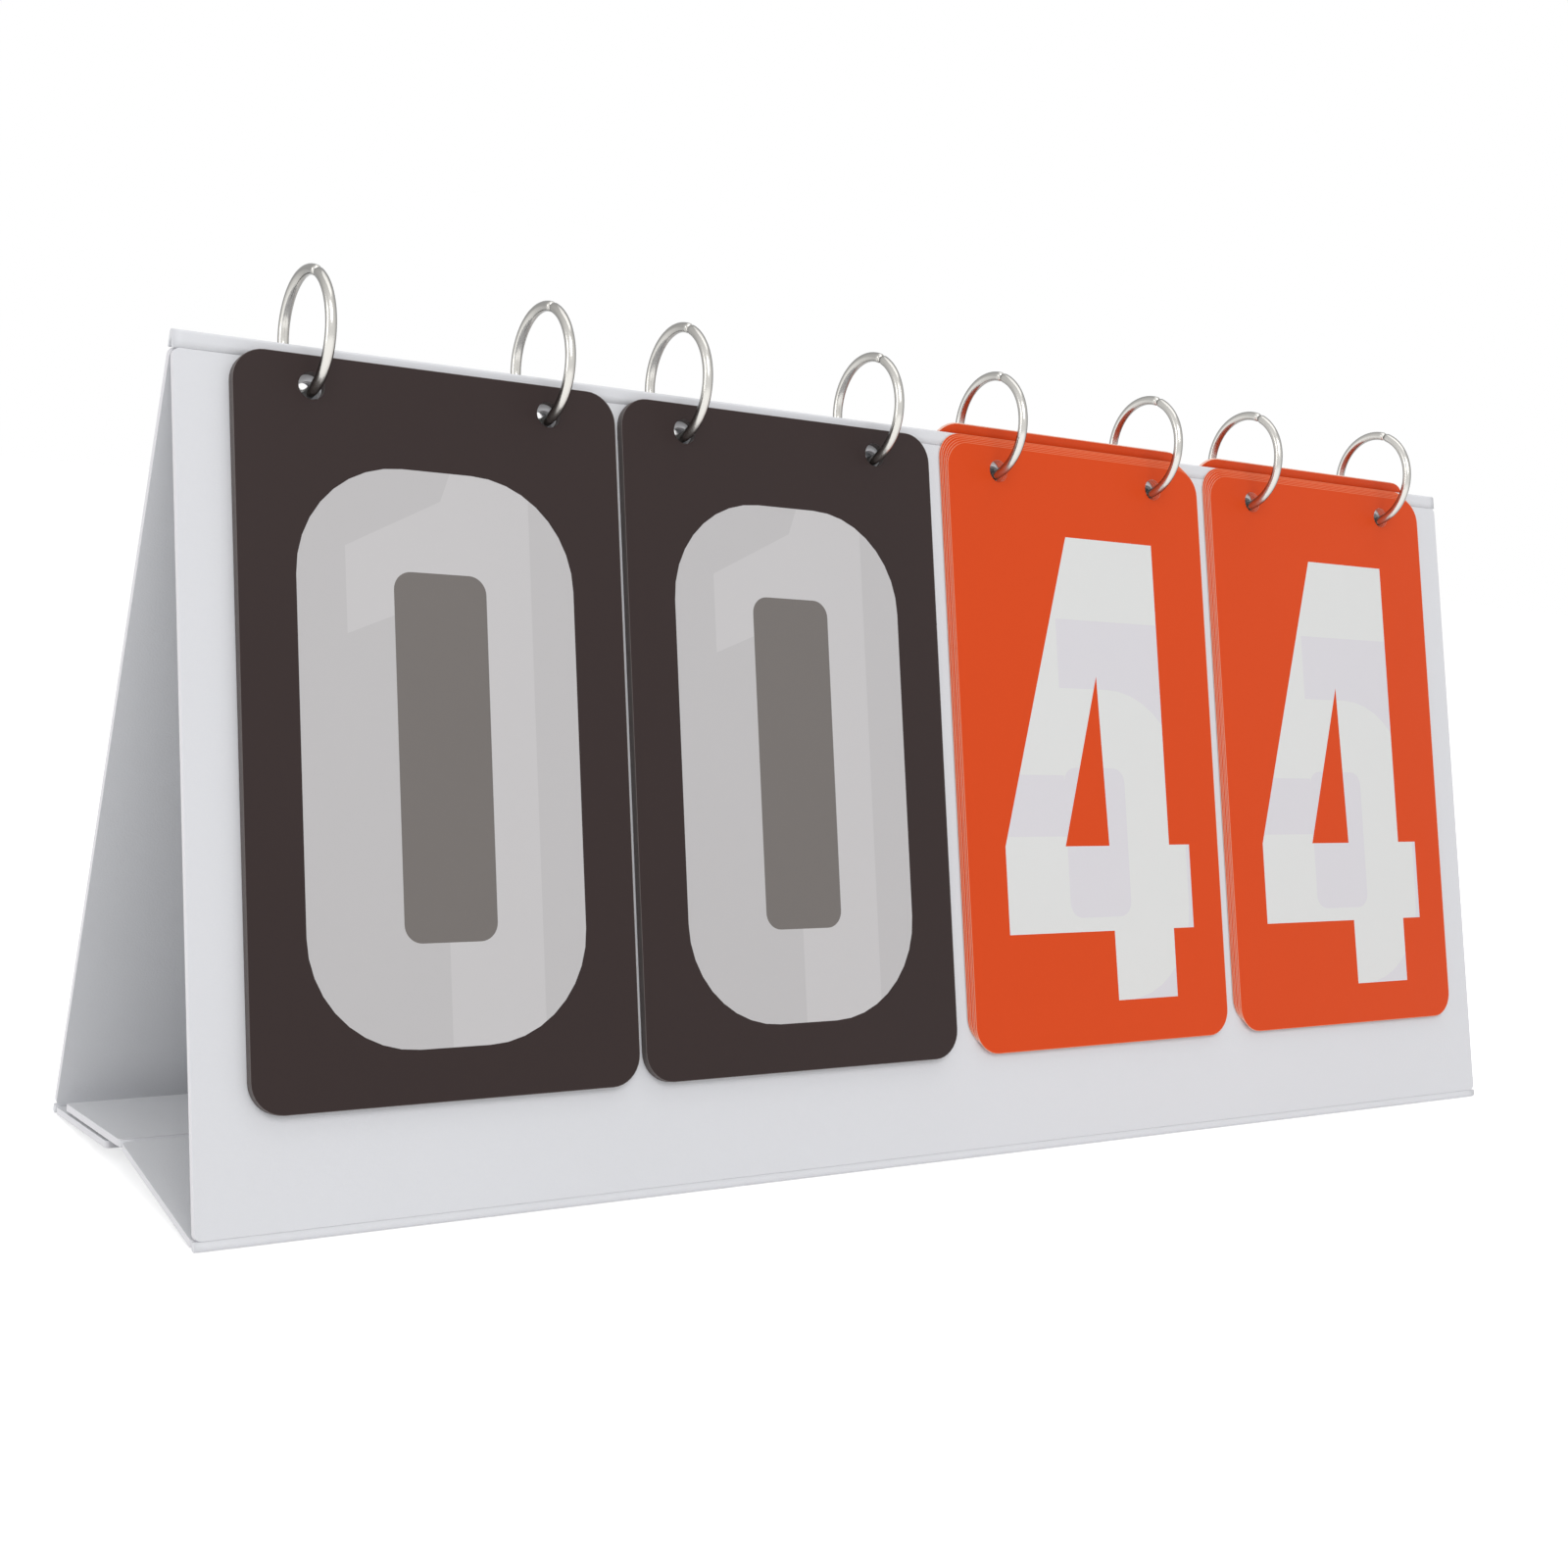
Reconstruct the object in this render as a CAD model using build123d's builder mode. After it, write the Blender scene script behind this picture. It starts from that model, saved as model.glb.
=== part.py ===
from build123d import *
import math
import os

# Tabletop flip scoreboard: a folded board stand with four stacks of number cards on wire rings.
# Millimetres. +X is the viewer's right, +Y goes to the back, +Z is up. The stand rests on z = 0.

os.makedirs("parts", exist_ok=True)

# driving dimensions of the stand
stand_width = 390.0
panel_length = 182.0
lean_deg = 15.0
board_thickness = 1.6
fold_radius = board_thickness / 2
foot_fold_radius = board_thickness / 2 + 0.1
foot_fold_height = board_thickness / 2
mid_fold_height = 7.2
layer_gap = 0.7
strip_thickness = 0.3
base_tip_gap = 8.5
flap_length = 38.0

# driving dimensions of the cards
side_margin = 11.25
stack_gaps = [1.7, 5.9, 5.3]
card_width = (stand_width - 35.2) / 4
card_height = panel_length - 26.0
card_corner = 7.0
card_thickness = 0.18
card_pitch = 0.2
first_card_gap = 0.15
card_top = 1.8
hole_radius = 2.9

# the red cards in front lie a little askew: how far down each top edge sits, and how far to the side
askew_tops = [-0.5, -0.1, 0.3, 0.8, 1.3, 1.8]
card_slips = [-0.9, -0.55, -0.25, 0.2, 0.5, 0.85]

# the cards turned over the ridge stand up past it and hang in wider holes
card_top_behind = -3.2
hole_radius_behind = 3.6
card_slip_behind = -0.8

# the line all cards turn about, above the ridge
turn_axis_height = 4.8
first_centre = side_margin + card_width / 2 - stand_width / 2
stack_centres = [first_centre]
for stack_gap in stack_gaps:
    stack_centres.append(stack_centres[-1] + card_width + stack_gap)

# driving dimensions of the wire rings
ring_radius = 13.0
wire_radius = 1.2
ring_drop = 1.15
ring_spacing = 55.0
seam_gap_deg = 1.2
panel_hole_radius = 2.6

lean = math.radians(lean_deg)
half = board_thickness / 2
ridge_z = foot_fold_height + panel_length * math.cos(lean)
foot_y = panel_length * math.sin(lean)
half_width = stand_width / 2

# slopes of the two base halves, and the plate directions in the Y-Z plane
front_slope = math.atan2(mid_fold_height - foot_fold_height, foot_y)
base_offset = board_thickness + layer_gap
rear_slope = math.atan2(mid_fold_height - foot_fold_height - base_offset, foot_y)


def along(origin, direction, normal, s, n):
    """Point at s along a plate and n off its middle plane."""
    y = origin[0] + direction[0] * s + normal[0] * n
    z = origin[1] + direction[1] * s + normal[1] * n
    return (y, z)


def plate(origin, direction, normal, s0, s1, n0, n1):
    """Four corners of a flat plate seen from its end."""
    corners = [(s0, n0), (s1, n0), (s1, n1), (s0, n1)]
    return [along(origin, direction, normal, s, n) for s, n in corners]


ridge = (0.0, ridge_z)
front_foot = (-foot_y, foot_fold_height)
rear_foot = (foot_y, foot_fold_height)
mid = (0.0, mid_fold_height)

# down the front face and out of it, down the back face and out of it
front_down = (-math.sin(lean), -math.cos(lean))
front_out = (-math.cos(lean), math.sin(lean))
back_down = (math.sin(lean), -math.cos(lean))
back_out = (math.cos(lean), math.sin(lean))

# along the base halves and the flap
base_front_run = (math.cos(front_slope), math.sin(front_slope))
base_front_up = (-math.sin(front_slope), math.cos(front_slope))
base_rear_run = (math.cos(rear_slope), -math.sin(rear_slope))
base_rear_up = (math.sin(rear_slope), math.cos(rear_slope))
flap_run = (-math.cos(rear_slope), math.sin(rear_slope))

front_half_length = (mid[0] - front_foot[0]) / math.cos(front_slope)
rear_half_length = foot_y / math.cos(rear_slope)

# where the rings pass through the boards: distance down the slope from the ridge
ring_centre_height = turn_axis_height - ring_drop
ring_side = ring_centre_height * math.sin(lean)
ring_up = ring_centre_height * math.cos(lean)
panel_hole_drop = math.sqrt(ring_radius ** 2 - ring_side ** 2) - ring_up

ring_places = []
for centre in stack_centres:
    ring_places.append(centre - ring_spacing / 2)
    ring_places.append(centre + ring_spacing / 2)

panel_top = round(half / math.tan(lean), 3) + 0.164
foot_gap = foot_fold_radius + 0.25
panel_end = panel_length - foot_gap

# front panel, a long flat board with eight ring holes along its top edge
front_profile = plate(ridge, front_down, front_out, panel_top, panel_end, -half, half)
front_face_plane = Plane(
    origin=(0, along(ridge, front_down, front_out, panel_hole_drop, 0)[0],
            along(ridge, front_down, front_out, panel_hole_drop, 0)[1]),
    x_dir=(1, 0, 0),
    z_dir=(0, front_out[0], front_out[1]),
)
with BuildPart() as front_panel:
    with BuildSketch(Plane.YZ.offset(-half_width)) as front_outline:
        Polygon(*front_profile, align=None)
    extrude(amount=stand_width)
    with BuildSketch(front_face_plane.offset(-2)) as front_holes:
        with Locations(*[(x, 0) for x in ring_places]):
            Circle(panel_hole_radius)
    extrude(amount=4, mode=Mode.SUBTRACT)
front_panel.part.label = "front_panel"
export_step(front_panel.part, "parts/front_panel.step")

# back panel, the same board leaning the other way
back_profile = plate(ridge, back_down, back_out, panel_top, panel_end, -half, half)
back_hole_point = along(ridge, back_down, back_out, panel_hole_drop, 0)
back_face_plane = Plane(
    origin=(0, back_hole_point[0], back_hole_point[1]),
    x_dir=(1, 0, 0),
    z_dir=(0, back_out[0], back_out[1]),
)
with BuildPart() as back_panel:
    with BuildSketch(Plane.YZ.offset(-half_width)) as back_outline:
        Polygon(*back_profile, align=None)
    extrude(amount=stand_width)
    with BuildSketch(back_face_plane.offset(-2)) as back_holes:
        with Locations(*[(x, 0) for x in ring_places]):
            Circle(panel_hole_radius)
    extrude(amount=4, mode=Mode.SUBTRACT)
back_panel.part.label = "back_panel"
export_step(back_panel.part, "parts/back_panel.step")

# ridge fold, the rounded covering that bridges the gap between the two boards
ridge_reach = panel_top
front_ridge_end = along(ridge, front_down, front_out, ridge_reach, fold_radius)
back_ridge_end = along(ridge, back_down, back_out, ridge_reach - 0.05, fold_radius)
ridge_inner_front = along(ridge, front_down, front_out, ridge_reach, -half)
ridge_inner_back = along(ridge, back_down, back_out, ridge_reach - 0.05, 0.25)
ridge_middle = (0.0, ridge_z - 0.95)
front_tangent = along(ridge, front_down, front_out, 0, fold_radius)
back_tangent = along(ridge, back_down, back_out, 0, fold_radius)
front_lower = along(ridge, front_down, front_out, ridge_reach, 0.1)
with BuildPart() as ridge_fold:
    with BuildSketch(Plane.YZ.offset(-half_width)) as ridge_outline:
        Polygon(
            front_tangent,
            front_ridge_end,
            front_lower,
            ridge_middle,
            ridge_inner_back,
            back_ridge_end,
            back_tangent,
            align=None,
        )
        with Locations(ridge):
            Circle(fold_radius)
    extrude(amount=stand_width)
ridge_fold.part.label = "ridge_fold"
export_step(ridge_fold.part, "parts/ridge_fold.step")

# front fold, the covering along the foot of the front panel, with a narrow flat underside
with BuildPart() as front_fold:
    with BuildSketch(Plane.YZ.offset(-half_width)) as front_fold_outline:
        with Locations(front_foot):
            Circle(foot_fold_radius)
        Polygon(*plate(front_foot, front_down, front_out, -foot_gap, 0, -half, half), align=None)
        with Locations((front_foot[0], -2.0)):
            Rectangle(6, 4, mode=Mode.SUBTRACT)
    extrude(amount=stand_width)
front_fold.part.label = "front_fold"
export_step(front_fold.part, "parts/front_fold.step")

# rear fold, the covering along the foot of the back panel
with BuildPart() as rear_fold:
    with BuildSketch(Plane.YZ.offset(-half_width)) as rear_fold_outline:
        with Locations(rear_foot):
            Circle(foot_fold_radius)
        Polygon(*plate(rear_foot, back_down, back_out, -foot_gap, 0, -half, half), align=None)
        with Locations((rear_foot[0], -2.0)):
            Rectangle(6, 4, mode=Mode.SUBTRACT)
    extrude(amount=stand_width)
rear_fold.part.label = "rear_fold"
export_step(rear_fold.part, "parts/rear_fold.step")

# base front half, rising from the front fold to the raised fold in the middle
base_front_start = foot_fold_radius + 0.6
base_front_end = front_half_length - half - 0.02
base_front_profile = plate(
    front_foot, base_front_run, base_front_up, base_front_start, base_front_end, -half, half
)
with BuildPart() as base_front_board:
    with BuildSketch(Plane.YZ.offset(-half_width)) as base_front_outline:
        Polygon(*base_front_profile, align=None)
    extrude(amount=stand_width)
base_front_board.part.label = "base_front_board"
export_step(base_front_board.part, "parts/base_front_board.step")

# mid fold, the raised covering between the two base halves
with BuildPart() as mid_fold:
    with BuildSketch(Plane.YZ.offset(-half_width)) as mid_fold_outline:
        with Locations(mid):
            Circle(half)
    extrude(amount=stand_width)
mid_fold.part.label = "mid_fold"
export_step(mid_fold.part, "parts/mid_fold.step")

# base rear half, falling from the mid fold and ending just short of the back panel
base_rear_start = half + 0.15
base_rear_end = rear_half_length - base_tip_gap
base_rear_profile = plate(
    mid, base_rear_run, base_rear_up, base_rear_start, base_rear_end, -half, half
)
with BuildPart() as base_rear_board:
    with BuildSketch(Plane.YZ.offset(-half_width)) as base_rear_outline:
        Polygon(*base_rear_profile, align=None)
    extrude(amount=stand_width)
base_rear_board.part.label = "base_rear_board"
export_step(base_rear_board.part, "parts/base_rear_board.step")

# rear flap, turned in from the foot of the back panel under the base's rear half
flap_start = foot_fold_radius + 0.35
rear_flap_profile = plate(rear_foot, flap_run, base_rear_up, flap_start, flap_length, -half, half)
with BuildPart() as rear_flap:
    with BuildSketch(Plane.YZ.offset(-half_width)) as rear_flap_outline:
        Polygon(*rear_flap_profile, align=None)
    extrude(amount=stand_width)
rear_flap.part.label = "rear_flap"
export_step(rear_flap.part, "parts/rear_flap.step")

# fastening strips between the base's rear half and the flap, one on each
strip_start = 12.0
strip_end = 30.0
strip_length = stand_width - 40
lower_strip_profile = plate(
    rear_foot, flap_run, base_rear_up, strip_start, strip_end, half, half + strip_thickness
)
with BuildPart() as loop_strip:
    with BuildSketch(Plane.YZ.offset(-strip_length / 2)) as lower_strip_outline:
        Polygon(*lower_strip_profile, align=None)
    extrude(amount=strip_length)
loop_strip.part.label = "loop_strip"
export_step(loop_strip.part, "parts/loop_strip.step")

upper_high = base_offset * math.cos(rear_slope) - half
upper_low = upper_high - strip_thickness
upper_strip_profile = plate(
    rear_foot, flap_run, base_rear_up, strip_start, strip_end, upper_low, upper_high
)
with BuildPart() as hook_strip:
    with BuildSketch(Plane.YZ.offset(-strip_length / 2)) as upper_strip_outline:
        Polygon(*upper_strip_profile, align=None)
    extrude(amount=strip_length)
hook_strip.part.label = "hook_strip"
export_step(hook_strip.part, "parts/hook_strip.step")

# wire rings, each a round wire bent into a circle that closes with a small seam
ring_z = ridge_z + ring_centre_height
for number, place in enumerate(ring_places, start=1):
    ring_axis = Axis((place, 0, ring_z), (1, 0, 0))
    with BuildPart() as wire_ring:
        with BuildSketch(Plane.XZ.rotated((0, 0, 0))) as wire_section:
            with Locations((place, ring_z + ring_radius)):
                Circle(wire_radius)
        revolve(axis=ring_axis, revolution_arc=360 - seam_gap_deg)
    wire_ring.part.label = f"ring_{number}"
    export_step(wire_ring.part, f"parts/ring_{number}.step")

# number cards: thin sheets with rounded corners and two ring holes
# a card's hole centre lies at the ring radius from the turning axis
axis_side = turn_axis_height * math.sin(lean)
axis_up = turn_axis_height * math.cos(lean)


def card_plane(down, out, offset):
    """Plane on a card's inner face, with its origin at the ridge line and its up direction up the slope."""
    point = along(ridge, down, out, 0, offset)
    return Plane(origin=(0, point[0], point[1]), x_dir=(1, 0, 0), z_dir=(0, out[0], out[1]))


# the front stacks run from card 9 on the board to the card that shows
# black stacks show 0, red stacks show 4 and carry cards 0 to 3 on the back
stacks = [
    ("a", stack_centres[0], list(range(9, -1, -1)), []),
    ("b", stack_centres[1], list(range(9, -1, -1)), []),
    ("c", stack_centres[2], list(range(9, 3, -1)), [0, 1, 2, 3]),
    ("d", stack_centres[3], list(range(9, 3, -1)), [0, 1, 2, 3]),
]
card_list = []
stacks_behind = {}
for letter, centre, in_front, behind in stacks:
    stacks_behind[letter] = behind
    for place, digit in enumerate(in_front):
        card_list.append((letter, centre, digit, place, True))
    for place, digit in enumerate(behind):
        card_list.append((letter, centre, digit, place, False))

for letter, centre, digit, place, on_front in card_list:
    down = front_down if on_front else back_down
    out = front_out if on_front else back_out
    top_edge = card_top if on_front else card_top_behind
    hole_size = hole_radius if on_front else hole_radius_behind
    slip = 0.0 if on_front else card_slip_behind
    if on_front and len(stacks_behind[letter]) > 0:
        top_edge = askew_tops[place]
        slip = card_slips[place]
    middle = centre + slip
    # the turning axis stands in front of or behind the sheet's middle by this much
    offset = fold_radius + first_card_gap + place * card_pitch
    reach = math.sqrt(ring_radius ** 2 - (offset + card_thickness / 2 - axis_side) ** 2)
    hole_drop = reach - axis_up
    sheet = card_plane(down, out, offset)
    # the plane's own up direction follows from its x and z directions
    sign = 1 if sheet.y_dir.Z > 0 else -1
    with BuildPart() as card:
        with BuildSketch(sheet) as card_outline:
            with Locations((middle, -sign * (top_edge + card_height / 2))):
                RectangleRounded(card_width, card_height, card_corner)
            with Locations(
                (middle - ring_spacing / 2, -sign * hole_drop),
                (middle + ring_spacing / 2, -sign * hole_drop),
            ):
                Circle(hole_size, mode=Mode.SUBTRACT)
        extrude(amount=card_thickness)
    card.part.label = f"card_{letter}_{digit}"
    export_step(card.part, f"parts/card_{letter}_{digit}.step")
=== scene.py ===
# %% [markdown]
# # A tabletop flip scoreboard
# The board is a tent of covered boards. Four stacks of number cards hang from wire rings over its ridge.
# The measured frame comes from the CAD solids, and this lesson gives each piece its skin, its print and
# its light. All lengths below are written in millimetres and turned into metres at the last step.

# %% Load the frame
import math

import bmesh
import bpy
import numpy as np
from mathutils import Matrix, Vector
from mathutils.geometry import delaunay_2d_cdt


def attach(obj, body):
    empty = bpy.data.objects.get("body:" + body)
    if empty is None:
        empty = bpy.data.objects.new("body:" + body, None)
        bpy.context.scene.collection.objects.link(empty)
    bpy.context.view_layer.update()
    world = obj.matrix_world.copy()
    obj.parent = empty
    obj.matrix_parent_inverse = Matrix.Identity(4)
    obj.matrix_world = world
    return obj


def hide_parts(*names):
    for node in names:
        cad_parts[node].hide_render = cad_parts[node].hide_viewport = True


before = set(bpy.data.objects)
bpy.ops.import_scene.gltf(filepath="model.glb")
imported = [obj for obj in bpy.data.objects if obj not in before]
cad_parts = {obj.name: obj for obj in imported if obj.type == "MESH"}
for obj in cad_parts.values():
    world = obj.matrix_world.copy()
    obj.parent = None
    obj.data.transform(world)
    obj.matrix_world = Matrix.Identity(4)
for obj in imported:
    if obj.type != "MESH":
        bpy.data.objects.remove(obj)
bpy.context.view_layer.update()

MM = 0.001

# %% [markdown]
# ## The sizes of the stand
# The stand is two boards that lean 15 degrees and meet in a ridge. Each piece could be placed by its own
# x, y and z, but a point on a leaning board is best told by three other numbers: how far along the width,
# how far down from the ridge, and how far out of the board's middle plane. Everything on that face, from
# the cards to the ring holes, is then placed the same way.

# %% Sizes and the two leaning faces
STAND_WIDTH = 390.0
HALF_W = STAND_WIDTH / 2
PANEL_LENGTH = 182.0
LEAN_DEG = 15.0
LEAN = math.radians(LEAN_DEG)
BOARD = 1.6
# The middle plane of each panel ends this high above the table.
FOOT_Z = 0.8
FOOT_Y = PANEL_LENGTH * math.sin(LEAN)
RIDGE_Z = FOOT_Z + PANEL_LENGTH * math.cos(LEAN)

FRONT_DOWN = np.array([0.0, -math.sin(LEAN), -math.cos(LEAN)])
FRONT_OUT = np.array([0.0, -math.cos(LEAN), math.sin(LEAN)])
BACK_DOWN = np.array([0.0, math.sin(LEAN), -math.cos(LEAN)])
BACK_OUT = np.array([0.0, math.cos(LEAN), math.sin(LEAN)])
RIDGE = np.array([0.0, 0.0, RIDGE_Z])
print("ridge height", round(RIDGE_Z, 2), "mm, foot half depth", round(FOOT_Y, 2), "mm")


# %% [markdown]
# ## Outlines made by formula
# Cards, boards and digits are all flat shapes with rounded corners. They could be drawn as curves by hand,
# but a formula keeps every corner alike. One helper draws a rounded rectangle as four quarter circles, and
# every larger shape is built from it and from plain polygons.

# %% Rounded boxes and discs
def rounded_box(x0, y0, x1, y1, radii, steps=10):
    """Corner points of a rectangle whose corners are quarter circles.

    radii gives the lower left, lower right, upper right and upper left radius. Each corner point is its
    circle's centre plus the radius times (cosine, sine) of an angle that runs through 90 degrees.
    """
    if not hasattr(radii, "__len__"):
        radii = [radii] * 4
    corners = [(x0, y0, 1, 1, 180), (x1, y0, -1, 1, 270), (x1, y1, -1, -1, 0), (x0, y1, 1, -1, 90)]
    parts = []
    for (cx, cy, sx, sy, start), r in zip(corners, radii):
        if r <= 0:
            parts.append(np.array([[cx, cy]]))
            continue
        a = np.radians(start + np.linspace(0, 90, steps))
        parts.append(np.stack([cx + sx * r + r * np.cos(a), cy + sy * r + r * np.sin(a)], 1))
    return np.concatenate(parts)


def disc(cx, cy, r, steps=28):
    """Points on a circle: the centre plus r times (cosine, sine) of equal steps of angle."""
    a = np.linspace(0, 2 * np.pi, steps, endpoint=False)
    return np.stack([cx + r * np.cos(a), cy + r * np.sin(a)], 1)


print("rounded box has", len(rounded_box(0, 0, 10, 20, 3)), "points and a disc", len(disc(0, 0, 1)))


# %% Which points lie inside an outline
def inside(points, outline):
    """Even and odd rule: inside if a ray to the right crosses the outline an odd number of times."""
    a, b = outline, np.roll(outline, -1, axis=0)
    px, py = points[:, None, 0], points[:, None, 1]
    cross = (a[:, 1] > py) != (b[:, 1] > py)
    rise = np.where(b[:, 1] == a[:, 1], 1e-12, b[:, 1] - a[:, 1])
    at = a[:, 0] + (py - a[:, 1]) * (b[:, 0] - a[:, 0]) / rise
    return (cross & (px < at)).sum(1) % 2 == 1


print("middle and outside:", inside(np.array([[0.0, 0.0], [9.0, 0.0]]), disc(0, 0, 5)))

# %% [markdown]
# ## Ten plain digits
# The digits are a bold, narrow sign writer's alphabet: thick strokes, a rounded outer corner and a small
# inner one. A font would bring its own shapes, so each digit is a short list of outlines that are added
# and cut, in that order. The strokes are about 21 mm across and the digits 122 mm tall.

# %% Measures of the digits
# Half the width and height of a digit, the breadth of its upright and level strokes, half the width and
# height of what they leave open, the two corner radii, and a line safely past the digit's side.
W, H = 32.0, 61.3
STROKE, BAR = 21.3, 22.0
IX, IY = W - STROKE, H - BAR
OUTER, INNER = 24.0, 4.0
PAST = W + 1


def poly(*points):
    """A polygon from corner points in millimetres, x to the right and y up from the digit's middle."""
    return np.array(points, float)


FULL = ("add", rounded_box(-W, -H, W, H, OUTER))
print("digits", 2 * W, "by", 2 * H, "mm")

# %% Digits 0 to 4
DIGITS = {
    0: [FULL, ("cut", rounded_box(-IX, -IY, IX, IY, INNER))],
    1: [
        ("add", poly((-0.5, -H), (21.5, -H), (21.5, H), (3.0, H), (0.5, 55.0), (-21.3, 44.0), (-21.3, 25.5),
                     (-0.5, 34.0))),
    ],
    2: [
        ("add", rounded_box(-W, 4.0, W, H, [0, 26, OUTER, OUTER])),
        ("cut", rounded_box(-IX, -2.0, IX, IY, [0, 6, INNER, INNER])),
        ("cut", poly((-PAST, 3.0), (-IX, 3.0), (-IX, 20.0), (-PAST, 20.0))),
        ("add", poly((-W, -H), (-W, -35.0), (6.0, 12.0), (IX, 22.0), (W, 22.0), (28.0, 6.0), (-5.0, -IY),
                     (W, -IY), (W, -H))),
    ],
    3: [
        ("add", rounded_box(-W, -4.0, W, H, [0, 20, OUTER, OUTER])),
        ("add", rounded_box(-W, -H, W, 4.0, [OUTER, OUTER, 20, 0])),
        ("cut", rounded_box(-IX, 11.0, IX, IY, INNER)),
        ("cut", rounded_box(-IX, -IY, IX, -11.0, INNER)),
        ("cut", poly((-PAST, -20.0), (-IX, -20.0), (-8.0, -11.0), (-8.0, 11.0), (-IX, 20.0), (-PAST, 20.0))),
    ],
    4: [
        ("add", poly((-5.6, H), (25.5, H), (25.8, -20.5), (33.3, -20.5), (33.3, -43.0), (25.8, -43.0),
                     (25.8, -H), (4.4, -H), (4.2, -43.0), (-31.8, -43.0), (-31.8, -20.5))),
        ("cut", poly((2.6, 24.5), (-11.4, -20.6), (4.0, -20.6))),
    ],
}
print("digits drawn", sorted(DIGITS))

# %% Digits 5 to 9
DIGITS[5] = [
    ("add", rounded_box(-W, -H, W, 21.0, [OUTER, OUTER, 26, 0])),
    ("add", poly((-W, IY), (28.0, IY), (28.0, H), (-W, H))),
    ("add", poly((-W, -4.0), (-IX, -4.0), (-IX, H), (-W, H))),
    ("cut", rounded_box(-IX, -IY, IX, 0.0, INNER)),
    ("cut", poly((-PAST, -18.0), (-IX, -18.0), (-IX, -2.0), (-PAST, -2.0))),
]
DIGITS[6] = [
    FULL,
    ("cut", rounded_box(-IX, -IY, IX, -8.0, INNER)),
    ("cut", rounded_box(-IX, 13.0, IX, IY, INNER)),
    ("cut", poly((IX - 2, 13.0), (PAST, 13.0), (PAST, 21.0), (IX - 2, 21.0))),
]
DIGITS[7] = [
    ("add", poly((-W, IY), (8.0, IY), (-17.0, -H), (6.5, -H), (W, IY + 2), (W, H), (-W, H))),
]
DIGITS[8] = [
    FULL,
    ("cut", rounded_box(-IX, 10.0, IX, IY, INNER)),
    ("cut", rounded_box(-IX, -IY, IX, -10.0, INNER)),
    ("cut", poly((-PAST, 8.0), (4.5 - W, 0.0), (-PAST, -8.0))),
    ("cut", poly((PAST, 8.0), (W - 4.5, 0.0), (PAST, -8.0))),
]
DIGITS[9] = [
    FULL,
    ("cut", rounded_box(-IX, 8.0, IX, IY, INNER)),
    ("cut", rounded_box(-IX, -IY, IX, -13.0, INNER)),
    ("cut", poly((-PAST, -21.0), (2 - IX, -21.0), (2 - IX, -13.0), (-PAST, -13.0))),
]
print("digits drawn", sorted(DIGITS))

# %% The digit on its card
DIGIT_DROP = 83.5


def placed_digit(number):
    """The digit's shapes in card coordinates: y now counts down from the card's top edge."""
    return [(kind, np.stack([s[:, 0], DIGIT_DROP - s[:, 1]], 1)) for kind, s in DIGITS[number]]


def in_digit(points, shapes):
    """True where the points lie in the digit, after each shape has been added or cut in turn."""
    hit = np.zeros(len(points), bool)
    for kind, outline in shapes:
        mask = inside(points, outline)
        hit = (hit | mask) if kind == "add" else (hit & ~mask)
    return hit


print("stroke and counter of the 0:", in_digit(np.array([[0, 30.0], [0, DIGIT_DROP]]), placed_digit(0)))


# %% [markdown]
# ## Cutting a sheet from outlines
# A card or board is one flat sheet. Boolean cuts could make its holes, but they leave long thin faces and
# know nothing of the print. Here the outline, the round holes and the digit are all drawn as lines on one
# plane, and a constrained triangulation fills the plane so that every line is an edge. The print then has
# a crisp border at any distance, because it is part of the mesh and not a picture.

# %% Filling the plane with triangles
def triangulate(lines):
    """Points and triangles of the plane, with every given closed line kept as a chain of edges."""
    points, edges, start = [], [], 0
    for line in lines:
        n = len(line)
        points += [Vector((float(x), float(y))) for x, y in line]
        edges += [(start + i, start + (i + 1) % n) for i in range(n)]
        start += n
    got = delaunay_2d_cdt(points, edges, [], 0, 1e-6)
    xy = np.array([tuple(p) for p in got[0]])
    tri = np.array([f for f in got[2] if len(f) == 3], int)
    return xy, tri


def cut_plane(outline, holes, figures):
    """Points, triangles and triangle middles inside the outline and outside the holes, all wound alike."""
    xy, tri = triangulate([outline, *holes, *figures])
    middle = xy[tri].mean(1)
    keep = inside(middle, outline)
    for hole in holes:
        keep &= ~inside(middle, hole)
    tri, middle = tri[keep], middle[keep]
    a, b, c = xy[tri[:, 0]], xy[tri[:, 1]], xy[tri[:, 2]]
    area = (b[:, 0] - a[:, 0]) * (c[:, 1] - a[:, 1]) - (b[:, 1] - a[:, 1]) * (c[:, 0] - a[:, 0])
    tri[area < 0] = tri[area < 0][:, ::-1]
    return xy, tri, middle


def open_edges(tri, n):
    """Edges that only one triangle uses: those whose twin, run the other way, is missing."""
    half_edges = np.concatenate([tri[:, [0, 1]], tri[:, [1, 2]], tri[:, [2, 0]]])
    key = half_edges[:, 0] * n + half_edges[:, 1]
    twin = half_edges[:, 1] * n + half_edges[:, 0]
    return half_edges[~np.isin(key, twin)]


print("a box fills with", len(triangulate([rounded_box(0, 0, 10, 20, 3)])[1]), "triangles")


# %% Putting a mesh in the scene
def placed(name, mesh):
    """The mesh as an object of the scene, at the origin, unturned and unscaled."""
    obj = bpy.data.objects.new(name, mesh)
    bpy.context.scene.collection.objects.link(obj)
    return obj


def drop_loose(mesh):
    """Take away points that no face uses, such as those the triangulation left outside the outline."""
    bm = bmesh.new()
    bm.from_mesh(mesh)
    bmesh.ops.delete(bm, geom=[v for v in bm.verts if not v.link_faces], context="VERTS")
    bm.to_mesh(mesh)
    bm.free()


print("scene helpers ready")

# %% The sheet maker
ACROSS = np.array([1.0, 0.0, 0.0])


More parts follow.
